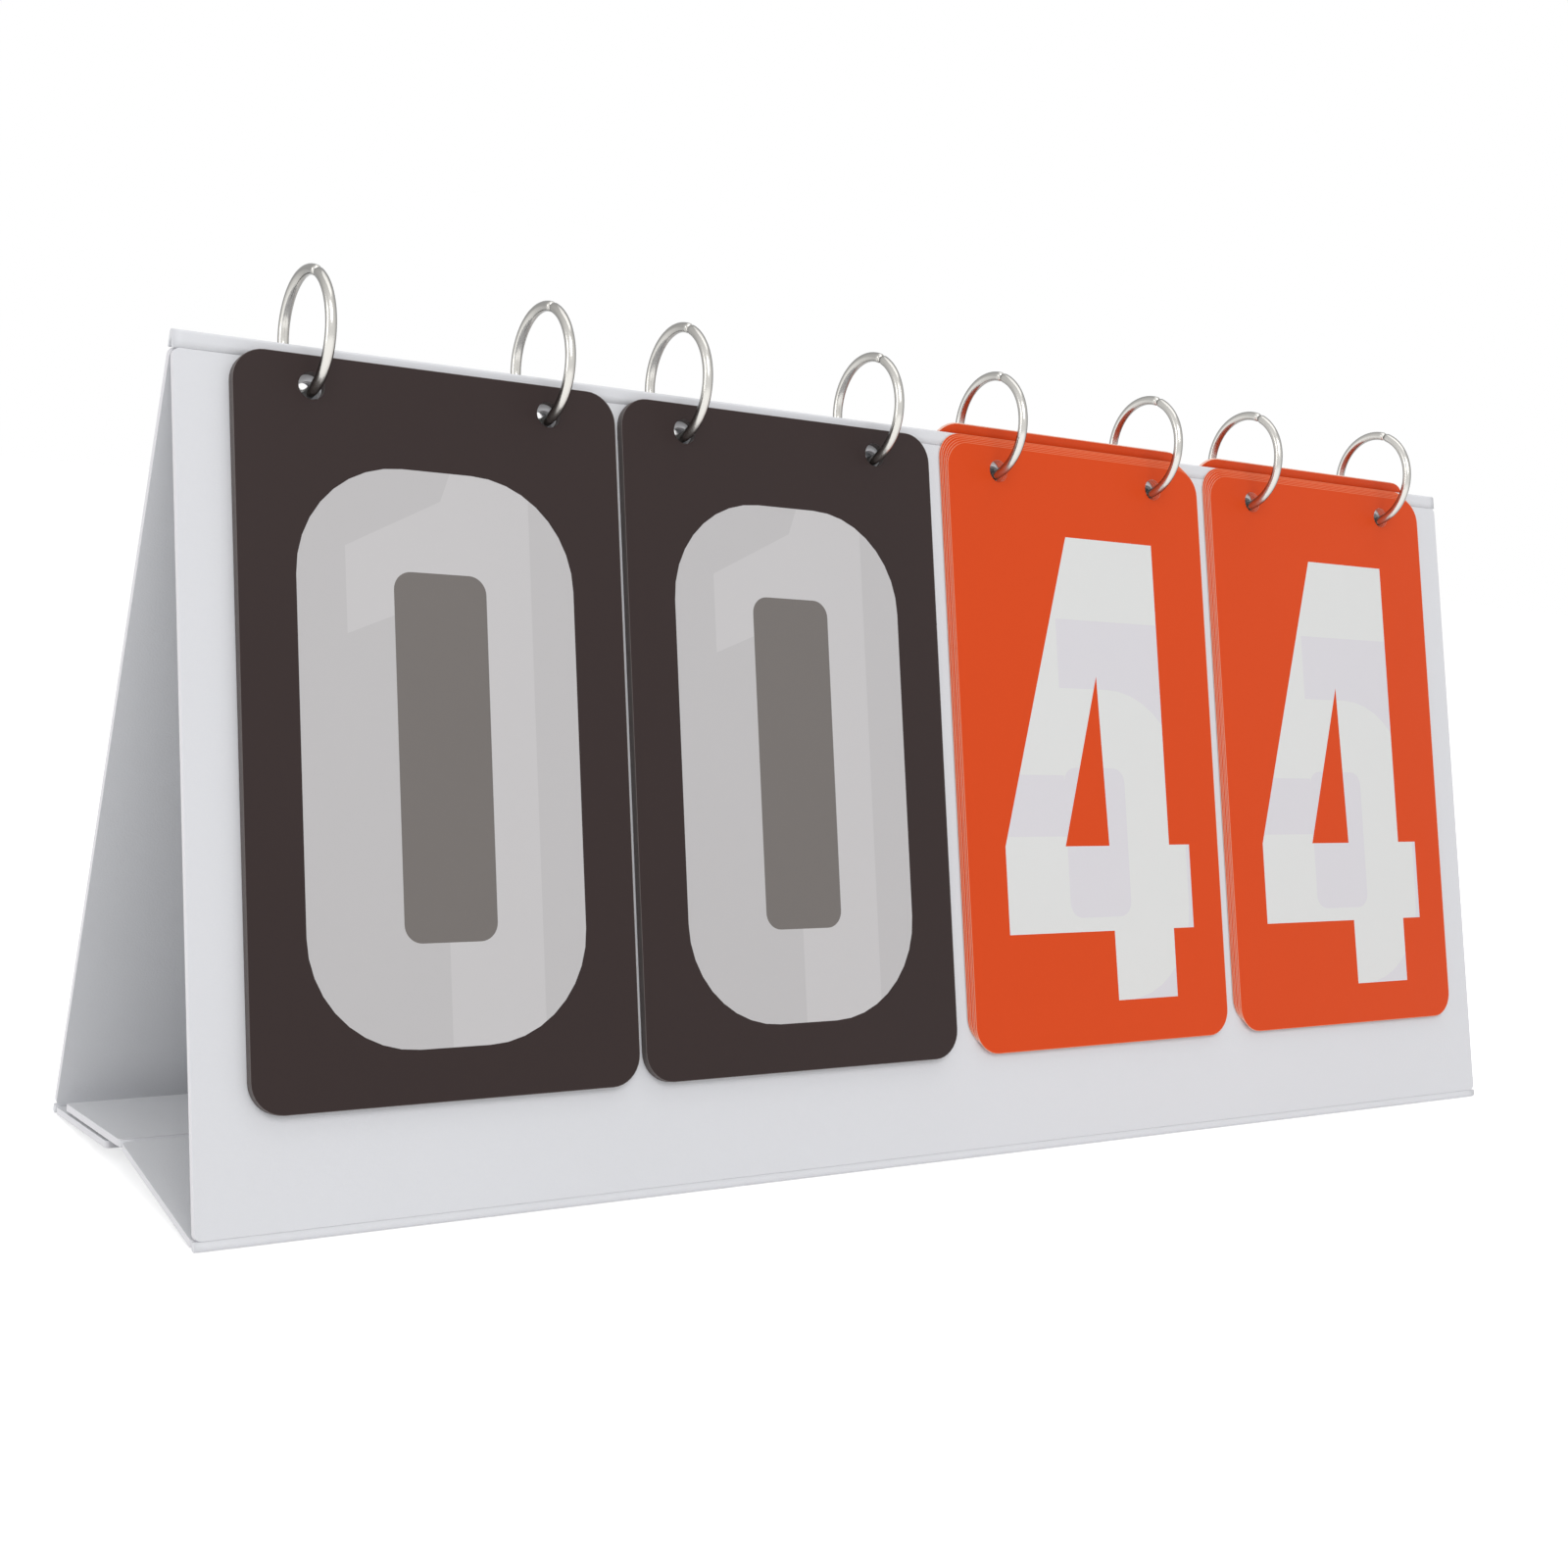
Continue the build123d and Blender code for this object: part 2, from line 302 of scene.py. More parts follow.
def sheet(name, outline, holes, figures, paint, thick, base, origin, down, out, colours):
    """One flat sheet with thickness, as a mesh.

    Each plane point (x, s) becomes origin + x times the width direction + s times down + n times out,
    where n is base on the inner face and base + thick on the outer one. paint(points) gives the colour
    number of each triangle on the outer and inner face, and of the walls along the open edges.
    """
    xy, tri, middle = cut_plane(outline, holes, figures)
    flat = origin + xy[:, :1] * ACROSS + xy[:, 1:] * down
    outer, inner = flat + out * (base + thick), flat + out * base
    same_way = np.dot(np.cross(ACROSS, down), out) > 0
    top = tri if same_way else tri[:, ::-1]
    low = tri[:, ::-1] if same_way else tri
    n = len(xy)
    rim = open_edges(top, n)
    walls = np.stack([rim[:, 1], rim[:, 0], rim[:, 0] + n, rim[:, 1] + n], 1)
    outer_paint, inner_paint, wall_paint = paint(middle)
    mesh = bpy.data.meshes.new(name)
    faces = top.tolist() + (low + n).tolist() + walls.tolist()
    mesh.from_pydata((np.concatenate([outer, inner]) * MM).tolist(), [], faces)
    numbers = np.concatenate([outer_paint, inner_paint, np.full(len(walls), wall_paint)]).astype(np.int32)
    mesh.polygons.foreach_set("material_index", numbers)
    for colour in colours:
        mesh.materials.append(colour)
    if len(np.unique(tri)) < n:
        drop_loose(mesh)
    mesh.update()
    return placed(name, mesh)


print("sheet maker ready")


# %% [markdown]
# ## Finishes
# Three things are repeated on many finishes: a faint cloudiness of colour, a fine grain in the surface,
# and small scuffs. They could be built anew in each material, but a node group with named inputs is built
# once and placed in every material with its own values. The groups read object coordinates, so the
# pattern stays put on the piece.

# %% Colours and empty groups
def colour_of(text):
    """Linear colour of a hexadecimal screen colour: ((c + 0.055) / 1.055) ** 2.4 for each channel c."""
    c = np.array([int(text[i:i + 2], 16) for i in (0, 2, 4)]) / 255.0
    lin = np.where(c <= 0.04045, c / 12.92, ((c + 0.055) / 1.055) ** 2.4)
    return (*[float(v) for v in lin], 1.0)


def new_group(name, inputs, outputs):
    """An empty shader group with float or colour inputs and its input and output nodes."""
    group = bpy.data.node_groups.new(name, "ShaderNodeTree")
    for label, kind, value in inputs:
        s = group.interface.new_socket(label, in_out="INPUT", socket_type=kind)
        s.default_value = value
    for label, kind in outputs:
        group.interface.new_socket(label, in_out="OUTPUT", socket_type=kind)
    return group, group.nodes.new("NodeGroupInput"), group.nodes.new("NodeGroupOutput")


print("a mid grey is", [round(v, 3) for v in colour_of("808080")])


# %% Small node helpers
def math_node(tree, operation, *values):
    """A Math node's result; each value is a socket or a plain number."""
    node = tree.nodes.new("ShaderNodeMath")
    node.operation = operation
    for i, v in enumerate(values):
        if hasattr(v, "is_linked"):
            tree.links.new(v, node.inputs[i])
        else:
            node.inputs[i].default_value = v
    return node.outputs[0]


def scaled(tree, colour, factor):
    """A colour socket times a number socket."""
    node = tree.nodes.new("ShaderNodeVectorMath")
    node.operation = "SCALE"
    tree.links.new(colour, node.inputs[0])
    tree.links.new(factor, node.inputs["Scale"])
    return node.outputs[0]


def noise(tree, vector, scale, detail):
    """A noise pattern of about one blob for each 1 / scale metres; scale is a socket or a plain number."""
    node = tree.nodes.new("ShaderNodeTexNoise")
    node.inputs["Detail"].default_value = detail
    tree.links.new(vector, node.inputs["Vector"])
    if hasattr(scale, "is_linked"):
        tree.links.new(scale, node.inputs["Scale"])
    else:
        node.inputs["Scale"].default_value = scale
    return node.outputs["Fac"]


print("node helpers ready")

# %% Soft cloud
NUMBER, COLOUR = "NodeSocketFloat", "NodeSocketColor"
cloud, cloud_in, cloud_out = new_group(
    "soft_cloud",
    [("Base", COLOUR, (0.8, 0.8, 0.8, 1)), ("Amount", NUMBER, 0.05), ("Scale", NUMBER, 30.0)],
    [("Colour", COLOUR)],
)
where = cloud.nodes.new("ShaderNodeTexCoord").outputs["Object"]
blobs = noise(cloud, where, cloud_in.outputs["Scale"], 4.0)
centred = math_node(cloud, "SUBTRACT", blobs, 0.5)
swing = math_node(cloud, "MULTIPLY_ADD", centred, cloud_in.outputs["Amount"], 1.0)
cloud.links.new(scaled(cloud, cloud_in.outputs["Base"], swing), cloud_out.inputs["Colour"])
print("group", cloud.name)

# %% Fine grain
grain, grain_in, grain_out = new_group(
    "fine_grain",
    [("Scale", NUMBER, 2500.0), ("Wave", NUMBER, 40.0), ("Wave amount", NUMBER, 0.5)],
    [("Height", NUMBER)],
)
where = grain.nodes.new("ShaderNodeTexCoord").outputs["Object"]
fine = noise(grain, where, grain_in.outputs["Scale"], 2.0)
slow = noise(grain, where, grain_in.outputs["Wave"], 1.0)
mixed = math_node(grain, "MULTIPLY_ADD", slow, grain_in.outputs["Wave amount"], fine)
grain.links.new(mixed, grain_out.inputs["Height"])
print("group", grain.name)

# %% Light scuffs
STREAK_SCALE = (160.0, 160.0, 22.0)
scuff, scuff_in, scuff_out = new_group(
    "light_scuffs",
    [("Rough", NUMBER, 0.4), ("Amount", NUMBER, 0.12)],
    [("Roughness", NUMBER)],
)
where = scuff.nodes.new("ShaderNodeTexCoord").outputs["Object"]
stretch = scuff.nodes.new("ShaderNodeMapping")
stretch.inputs["Scale"].default_value = STREAK_SCALE
scuff.links.new(where, stretch.inputs["Vector"])
streak = noise(scuff, stretch.outputs[0], 1.0, 5.0)
off = math_node(scuff, "SUBTRACT", streak, 0.5)
value = math_node(scuff, "MULTIPLY_ADD", off, scuff_in.outputs["Amount"], scuff_in.outputs["Rough"])
scuff.links.new(value, scuff_out.inputs["Roughness"])
print("group", scuff.name)


# %% [markdown]
# ## The materials of this board
# The boards wear a satin white plastic sheet. The cards are smooth coloured plastic with printed digits,
# the rings are bright plated wire, and the fastening tapes are a felted fabric. All of them are one
# Principled shader with other numbers, so one function makes them and the lists below only name values.

# %% Material maker
GRAIN_DEPTH = 0.4 * MM


def group_in(tree, group, values, output, target):
    """Place a shared group in a material, set its named inputs and link its output to the target."""
    node = tree.nodes.new("ShaderNodeGroup")
    node.node_tree = group
    for label, v in values.items():
        node.inputs[label].default_value = v
    tree.links.new(node.outputs[output], target)


def finish(name, base, rough=0.4, cloudiness=0.04, cloud_scale=30.0, bump=0.02, grain_scale=2500.0,
           wave=40.0, wave_amount=0.5, scuffs=0.1, metallic=0.0, spec=0.5):
    """A Principled material fed by the three shared groups; base is a screen colour."""
    mat = bpy.data.materials.new(name)
    mat.use_nodes = True
    tree = mat.node_tree
    bsdf = tree.nodes["Principled BSDF"]
    group_in(tree, cloud, {"Base": colour_of(base), "Amount": cloudiness, "Scale": cloud_scale},
             "Colour", bsdf.inputs["Base Color"])
    group_in(tree, scuff, {"Rough": rough, "Amount": scuffs}, "Roughness", bsdf.inputs["Roughness"])
    relief = tree.nodes.new("ShaderNodeBump")
    relief.inputs["Strength"].default_value = bump
    relief.inputs["Distance"].default_value = GRAIN_DEPTH
    group_in(tree, grain, {"Scale": grain_scale, "Wave": wave, "Wave amount": wave_amount},
             "Height", relief.inputs["Height"])
    tree.links.new(relief.outputs["Normal"], bsdf.inputs["Normal"])
    bsdf.inputs["Metallic"].default_value = metallic
    bsdf.inputs["Specular IOR Level"].default_value = spec
    return mat


print("material maker ready")

# %% Covers and tape
cover = finish("white_sheet_cover", "e1e2e6", rough=0.46, cloudiness=0.035, cloud_scale=14.0, bump=0.12,
               wave=26.0, wave_amount=2.5, scuffs=0.12)
inner_cover = finish("inside_sheet_cover", "e4e5e8", rough=0.5, cloudiness=0.04, cloud_scale=12.0, bump=0.12,
                     wave=22.0, wave_amount=2.5)
board_edge = finish("welded_board_edge", "e6e5e9", rough=0.42, cloudiness=0.03, bump=0.1, wave=120.0)
tape = finish("felted_fastening_tape", "d5d5d3", rough=0.9, cloudiness=0.15, cloud_scale=500.0, bump=0.8,
              grain_scale=900.0, scuffs=0.05, spec=0.1)
print(len(bpy.data.materials), "materials")

# %% Card sheets and print
SHEET = dict(rough=0.42, cloud_scale=18.0, bump=0.04, wave=18.0, wave_amount=3.0, scuffs=0.12)
INK = dict(cloudiness=0.02, bump=0.03, scuffs=0.1, spec=0.25)

black_ground = finish("black_card_sheet", "312524", cloudiness=0.12, spec=0.22, **SHEET)
red_ground = finish("red_card_sheet", "dd4912", cloudiness=0.05, spec=0.2, **SHEET)
grey_print = finish("grey_printed_digit", "c3c1c2", rough=0.46, **INK)
grey_over = finish("grey_print_over_next_digit", "cbc9ca", rough=0.46, **INK)
white_alone = finish("white_printed_digit", "dedce1", rough=0.44, **INK)
white_over = finish("white_print_over_next_digit", "e3e4e3", rough=0.44, **INK)
grey_window = finish("grey_digit_window", "77726f", rough=0.44, cloudiness=0.06, bump=0.04, scuffs=0.1,
                     spec=0.22)
black_through = finish("black_card_with_print_behind", "3a2f2d", cloudiness=0.1, spec=0.22, **SHEET)
red_through = finish("red_card_with_print_behind", "e0592a", cloudiness=0.05, spec=0.2, **SHEET)
# The black edge colour serves the cut edges of the black cards and also their painted rim highlight line.
black_edge_and_rim_highlight = finish("black_card_edge_and_rim_highlight", "5a5250", rough=0.5, bump=0.05)
red_edge = finish("red_card_edge", "f3c9ba", rough=0.5, bump=0.05)
# The red rim colour is a painted highlight line along the rim of the red cards.
red_rim_highlight = finish("red_card_rim_highlight", "ea7c50", rough=0.46, bump=0.04)
print(len(bpy.data.materials), "materials")

# %% [markdown]
# ## Bright wire
# Plated wire mirrors its surroundings. In a white studio that would make it flat and white, while real
# wire shows dark lines where its sides turn away and mirror what is far off. Darker surroundings would dim
# the whole picture, so these dark lines are a painted reflection: the wire's colour darkens where its
# surface turns away.

# %% Ring wire
wire = finish("plated_ring_wire", "cfcdc8", rough=0.2, cloudiness=0.06, cloud_scale=220.0, bump=0.03,
              grain_scale=1500.0, scuffs=0.16, metallic=1.0)
wire_tree = wire.node_tree
wire_colour = wire_tree.nodes["Principled BSDF"].inputs["Base Color"]
from_group = wire_colour.links[0].from_socket
# Painted dark reflection: the wire's colour is darkened where its surface turns away from the view.
turn_away = wire_tree.nodes.new("ShaderNodeLayerWeight")
turn_away.inputs["Blend"].default_value = 0.55
painted_dark_reflection = wire_tree.nodes.new("ShaderNodeMapRange")
for label, v in {"From Min": 0.15, "From Max": 0.8, "To Min": 1.0, "To Max": 0.22}.items():
    painted_dark_reflection.inputs[label].default_value = v
wire_tree.links.new(turn_away.outputs["Facing"], painted_dark_reflection.inputs["Value"])
wire_tree.links.new(scaled(wire_tree, from_group, painted_dark_reflection.outputs["Result"]), wire_colour)
print(len(bpy.data.materials), "materials")

# %% [markdown]
# ## The covered boards
# On the real stand each panel is a stiff board welded inside a plastic sheet. A plain box would look too
# sharp, and a subdivided one would go round at the corners. The sheet maker cuts the shape with its ring
# holes, and a small bevel rounds its rim as the stretched cover does.

# %% Where the rings pass through the panels
STACK_X = {"a": -139.4, "b": -49.0, "c": 45.6, "d": 139.6}
RING_SPACING = 55.0
RING_X = [x + s for x in STACK_X.values() for s in (-RING_SPACING / 2, RING_SPACING / 2)]
RING_R = 13.0
# The cards turn about a line above the ridge, and the rings' centre lies a little under that line.
AXIS_HEIGHT = 4.8
RING_DROP = 1.15
RING_UP = AXIS_HEIGHT - RING_DROP
PANEL_HOLE_R = 2.6
HOLE_DROP = math.sqrt(RING_R ** 2 - (RING_UP * math.sin(LEAN)) ** 2) - RING_UP * math.cos(LEAN)
panel_holes = [disc(x, HOLE_DROP, PANEL_HOLE_R) for x in RING_X]
print("panel hole", round(HOLE_DROP, 2), "mm below the ridge")

# %% Front and back panels
PANEL_CORNER, BASE_CORNER = 1.5, 1.0
COVER_ROUND = 0.45
# What a panel leaves free for the fold at its top and at its foot.
RIDGE_END, FOOT_END = 3.15, 1.15


def board_paint(points):
    """Outer face, inner face and walls of a board take their colours in this order."""
    n = len(points)
    return np.zeros(n, int), np.ones(n, int), 2


def board(name, s0, s1, origin, down, out, holes, face, radius):
    """A covered board: a rounded rectangle from s0 to s1 down the plate, as thick as the board."""
    outline = rounded_box(-HALF_W, s0, HALF_W, s1, radius, 6)
    obj = sheet(name, outline, holes, [], board_paint, BOARD, -BOARD / 2, origin, down, out,
                [face, inner_cover, board_edge])
    bevel = obj.modifiers.new("rounded rim", "BEVEL")
    bevel.width = COVER_ROUND * MM
    bevel.segments = 3
    bevel.limit_method = "ANGLE"
    bevel.angle_limit = math.radians(40)
    return obj


front = board("front_panel_cover", RIDGE_END, PANEL_LENGTH - FOOT_END, RIDGE, FRONT_DOWN, FRONT_OUT,
              panel_holes, cover, PANEL_CORNER)
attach(front, "stand_front")
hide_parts("front_panel")
back = board("back_panel_cover", RIDGE_END, PANEL_LENGTH - FOOT_END, RIDGE, BACK_DOWN, BACK_OUT,
             panel_holes, cover, PANEL_CORNER)
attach(back, "stand_back")
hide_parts("back_panel")
print("panels made")

# %% [markdown]
# ## The base
# The base is one board with a raised fold in the middle. Its front half rises from the front foot, its
# rear half falls back onto a flap that is turned in from the back panel. The two halves and the flap are
# the same kind of covered board, only shorter, so each only needs its own origin and directions.

# %% Slopes of the base
# The height of the middle fold, the gap between rear half and flap, what the rear half leaves free before
# the back panel, and the length of the flap.
MID_Z = 7.2
LAYER_GAP = 0.7
TIP_GAP = 8.5
FLAP = 38.0
front_slope = math.atan2(MID_Z - FOOT_Z, FOOT_Y)
rear_slope = math.atan2(MID_Z - FOOT_Z - BOARD - LAYER_GAP, FOOT_Y)
front_foot = np.array([0, -FOOT_Y, FOOT_Z])
rear_foot = np.array([0, FOOT_Y, FOOT_Z])
mid_point = np.array([0, 0, MID_Z])
run_a = np.array([0, math.cos(front_slope), math.sin(front_slope)])
up_a = np.array([0, -math.sin(front_slope), math.cos(front_slope)])
run_b = np.array([0, math.cos(rear_slope), -math.sin(rear_slope)])
up_b = np.array([0, math.sin(rear_slope), math.cos(rear_slope)])
print("base slopes", round(math.degrees(front_slope), 1), round(math.degrees(rear_slope), 1))

# %% Base halves and flap
# What each board leaves free for the folds beside it.
FRONT_START, FRONT_STOP = 1.5, 0.82
REAR_START, FLAP_START = 0.95, 1.25

base_a = board("base_front_cover", FRONT_START, FOOT_Y / math.cos(front_slope) - FRONT_STOP, front_foot,
               run_a, up_a, [], inner_cover, BASE_CORNER)
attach(base_a, "base_front")
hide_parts("base_front_board")
base_b = board("base_rear_cover", REAR_START, FOOT_Y / math.cos(rear_slope) - TIP_GAP, mid_point,
               run_b, up_b, [], inner_cover, BASE_CORNER)
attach(base_b, "base_rear")
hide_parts("base_rear_board")
flap = board("rear_flap_cover", FLAP_START, FLAP, rear_foot, -run_b, up_b, [], inner_cover, BASE_CORNER)
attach(flap, "stand_back")
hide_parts("rear_flap")
print("base and flap made")


# %% [markdown]
# ## The folds
# Where two boards meet, the cover alone bridges the gap. It bends round as a soft rib. A cylinder would do
# for the middle fold, but the ridge and the feet run on into the boards. So a rib is a closed profile
# carried along the width, with the smallest wave where the sheet has been creased.

# %% Tubes from rows of points
def tube_mesh(name, rows, material, round_caps):
    """A closed tube: rows[i, j] is point j of the outline at step i.

    Four neighbours make a face, with j running round to its start, and the first and last outline are
    closed with caps. The faces are then turned to point outwards.
    """
    steps, around = rows.shape[:2]
    i, j = np.meshgrid(np.arange(steps - 1), np.arange(around), indexing="ij")
    i, j = i.ravel(), j.ravel()
    k = (j + 1) % around
    quads = np.stack([i * around + j, (i + 1) * around + j, (i + 1) * around + k, i * around + k], 1)
    caps = [list(range(around)), list(range((steps - 1) * around, steps * around))[::-1]]
    mesh = bpy.data.meshes.new(name)
    mesh.from_pydata((rows.reshape(-1, 3) * MM).tolist(), [], quads.tolist() + caps)
    mesh.materials.append(material)
    bm = bmesh.new()
    bm.from_mesh(mesh)
    bmesh.ops.recalc_face_normals(bm, faces=bm.faces)
    bm.to_mesh(mesh)
    bm.free()
    smooth = np.ones(len(mesh.polygons), bool)
    smooth[-2:] = round_caps
    mesh.polygons.foreach_set("use_smooth", smooth)
    return mesh


def rib(name, profile, steps, wave):
    """A closed profile carried along the width.

    The profile's points (y, z) are repeated at equal steps of x. Each point moves towards the profile's
    middle by wave times a sum of two sines of x, so that the fold is not machine straight.
    """
    x = np.linspace(-HALF_W, HALF_W, steps)
    pull = wave * (0.5 + 0.3 * np.sin(x * 0.11) + 0.2 * np.sin(x * 0.37 + 1.0))
    pts = profile[None, :, :] + (profile.mean(0) - profile)[None, :, :] * pull[:, None, None]
    along = np.broadcast_to(x[:, None, None], (steps, len(profile), 1))
    return placed(name, tube_mesh(name, np.concatenate([along, pts], 2), cover, False))


def on_plate(origin, down, out, s, n):
    """The (y, z) of a point s down a plate and n out of it."""
    return (origin + down * s + out * n)[1:].tolist()


print("rib maker ready")

# %% Ridge fold
# The fold runs down each panel from its shoulder to its tip. The last pair says how far its inner corner
# lies off the middle plane on each side, and HOLLOW how far its underside lies below the ridge.
R_FOLD = BOARD / 2
SKIN = 0.02
SHOULDER = 1.5
FRONT_TIP, BACK_TIP = 3.1, 3.08
FRONT_INSIDE, BACK_INSIDE = 0.12, 0.27
HOLLOW = 0.9
RIDGE_WAVE = 0.02
angles = np.radians(np.linspace(180 - LEAN_DEG, LEAN_DEG, 15))
arc = np.stack([R_FOLD * np.cos(angles), RIDGE_Z + R_FOLD * np.sin(angles)], 1)
front_side = [on_plate(RIDGE, FRONT_DOWN, FRONT_OUT, s, n)
              for s, n in ((FRONT_TIP, FRONT_INSIDE), (FRONT_TIP, R_FOLD - SKIN), (SHOULDER, R_FOLD))]
back_side = [on_plate(RIDGE, BACK_DOWN, BACK_OUT, s, n)
             for s, n in ((SHOULDER, R_FOLD), (BACK_TIP, R_FOLD - SKIN), (BACK_TIP, BACK_INSIDE))]
ridge_profile = np.concatenate([front_side, arc, back_side, [[0.0, RIDGE_Z - HOLLOW]]])
ridge = rib("ridge_fold_cover", ridge_profile, 180, RIDGE_WAVE)
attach(ridge, "stand_front")
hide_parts("ridge_fold")
print("ridge profile has", len(ridge_profile), "points")

# %% Foot folds and middle fold
FOOT_R = 0.89
FOOT_REACH = 1.12
FOOT_SKIN = 0.01
MID_SHRINK = 0.98
MID_WAVE = 0.03
FOLD_STEPS = 120


def foot_profile(y, down, out):
    """A round foot with a flat underside at z = 0, running up to the panel's end."""
    foot = np.array([0, y, FOOT_Z])
    up = on_plate(foot, down, out, -FOOT_REACH, R_FOLD - FOOT_SKIN)
    low = on_plate(foot, down, out, -FOOT_REACH, FOOT_SKIN - R_FOLD)
    side = 1.0 if y > 0 else -1.0
    a = np.radians(np.linspace(LEAN_DEG, -160, 16))
    ring = np.stack([y + side * FOOT_R * np.cos(a), np.maximum(FOOT_Z + FOOT_R * np.sin(a), 0.0)], 1)
    return np.concatenate([[low, up], ring])


foot_a = rib("front_fold_cover", foot_profile(-FOOT_Y, FRONT_DOWN, FRONT_OUT), FOLD_STEPS, 0.0)
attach(foot_a, "stand_front")
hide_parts("front_fold")
foot_b = rib("rear_fold_cover", foot_profile(FOOT_Y, BACK_DOWN, BACK_OUT), FOLD_STEPS, 0.0)
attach(foot_b, "stand_back")
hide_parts("rear_fold")
mid_rib = rib("mid_fold_cover", disc(0.0, MID_Z, R_FOLD * MID_SHRINK, 18), FOLD_STEPS, MID_WAVE)
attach(mid_rib, "base_front")
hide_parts("mid_fold")
print("folds made")


# %% [markdown]
# ## The wire rings
# Each ring is a length of round wire bent into a circle that closes with a small seam. Blender's own torus
# has no seam, so a grid of two angles gives the ring: one runs round the ring and one round the wire. It is
# the tube of the folds again, only bent, and the ends are closed with caps.

# %% Rings
# The wire stays a hair inside the solid ring. Its ends leave twice the seam's angle open.
WIRE_R = 1.195
SEAM_DEG = 0.6
SEAM_DRAW = 0.82
ROUND_RING, ROUND_WIRE = 112, 20


def ring_mesh(name, x0, turn):
    """A torus with a seam.

    Point (u, v): the centre plus (R + r cos v) times the direction at angle u in the Y-Z plane, plus
    r sin v across. u runs nearly round, leaving the seam, and the wire's end is drawn in a little.
    """
    u = np.linspace(math.radians(SEAM_DEG), math.radians(360 - SEAM_DEG), ROUND_RING) + turn
    v = np.linspace(0, 2 * np.pi, ROUND_WIRE, endpoint=False)
    r = np.full((ROUND_RING, 1), WIRE_R)
    r[[0, -1]] *= SEAM_DRAW
    uu, vv = np.meshgrid(u, v, indexing="ij")
    rad = RING_R + r * np.cos(vv)
    rows = np.stack([x0 + r * np.sin(vv), -rad * np.sin(uu), RIDGE_Z + RING_UP + rad * np.cos(uu)], -1)
    return tube_mesh(name, rows, wire, True)


for n, x0 in enumerate(RING_X, start=1):
    turn = math.radians(14.0 + 3.0 * math.sin(n * 2.1))
    piece = placed(f"ring_{n}_wire", ring_mesh(f"ring_{n}_wire", x0, turn))
    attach(piece, f"ring_{n}_body")
    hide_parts(f"ring_{n}")
print("rings", len(RING_X))


# %% [markdown]
# ## The number cards
# Forty cards hang in four stacks. Each is a thin sheet with two ring holes, its own digit on the front,
# and a faint trace of the next card's digit, because the sheets let a little light through. Real light
# through thin sheets is slow to render and grainy, so the trace is drawn: where the two digits overlap the
# print takes another tone. A fine pale line round every card, just inside its rim, is a painted highlight
# for the light its thin cut edge catches.

# %% Sizes of a card and its place in the stack
CARD_W, CARD_H, CARD_R = 88.7, 156.0, 7.0
CARD_T = 0.18
CARD_PITCH = 0.2
FIRST_GAP = 0.15
HOLE_R = 2.9
HOLE_R_BEHIND = 3.6
# Top edges lie this far below the ridge, and slips are sideways. The lists run from the lowest card up.
TOP_BLACK = 1.8
TOPS_RED = [-0.5, -0.1, 0.3, 0.8, 1.3, 1.8]
TOP_BEHIND = -3.2
SLIPS = [-0.9, -0.55, -0.25, 0.2, 0.5, 0.85]
SLIP_BEHIND = -0.8
# Widths of the painted highlight line along the rim of the red and the black cards.
HIGHLIGHT_WIDTH_RED, HIGHLIGHT_WIDTH_BLACK = 0.15, 0.12


def hole_drop(offset):
    """How far below the ridge a card's ring holes lie, when the card sits this far off the ridge line."""
    side = offset + CARD_T / 2 - AXIS_HEIGHT * math.sin(LEAN)
    return math.sqrt(RING_R ** 2 - side ** 2) - AXIS_HEIGHT * math.cos(LEAN)


def card_place(red, place, in_front):
    """Sideways slip and top edge below the ridge of one card.

    A turned card stands up past the ridge. In the red stacks no two cards lie quite straight, so the
    edges of the lower ones show above and beside the card on top.
    """
    if in_front:
        return (SLIPS[place], TOPS_RED[place]) if red else (0.0, TOP_BLACK)
    return (SLIP_BEHIND if red else 0.0), TOP_BEHIND


print("ring holes", round(hole_drop(BOARD / 2), 2), "mm below the ridge on the lowest card")

# %% The print of a card
# The last colour number marks the painted highlight line along each card's rim.
GROUND, PRINT, WINDOW, OVER, WALL, THROUGH, PAINTED_RIM = range(7)
BLACK_COLOURS = [black_ground, grey_print, grey_window, grey_over, black_edge_and_rim_highlight, black_through, black_edge_and_rim_highlight]
RED_COLOURS = [red_ground, white_alone, red_ground, white_over, red_edge, red_through, red_rim_highlight]
CLOSED_COUNTERS = (0, 4, 6, 8, 9)


def printed(points, number, own, following, inner):
    """Colour numbers of the printed face and of the reverse, for the middles of a card's triangles."""
    mine = in_digit(points, own)
    window = np.zeros(len(points), bool)
    for kind, outline in own:
        if kind == "cut" and number in CLOSED_COUNTERS:
            window |= inside(points, outline) & ~mine
    face = np.full(len(points), GROUND)
    face[window] = WINDOW
    face[mine] = PRINT
    face[mine & in_digit(points, following)] = OVER
    reverse = np.where(mine, THROUGH, GROUND)
    # Painted highlight: a thin band along the rim takes a paler colour on both faces.
    painted_rim_mask = ~inside(points, inner)
    face[painted_rim_mask] = PAINTED_RIM
    reverse[painted_rim_mask] = PAINTED_RIM
    return face, reverse


print("colours of a card", len(RED_COLOURS))


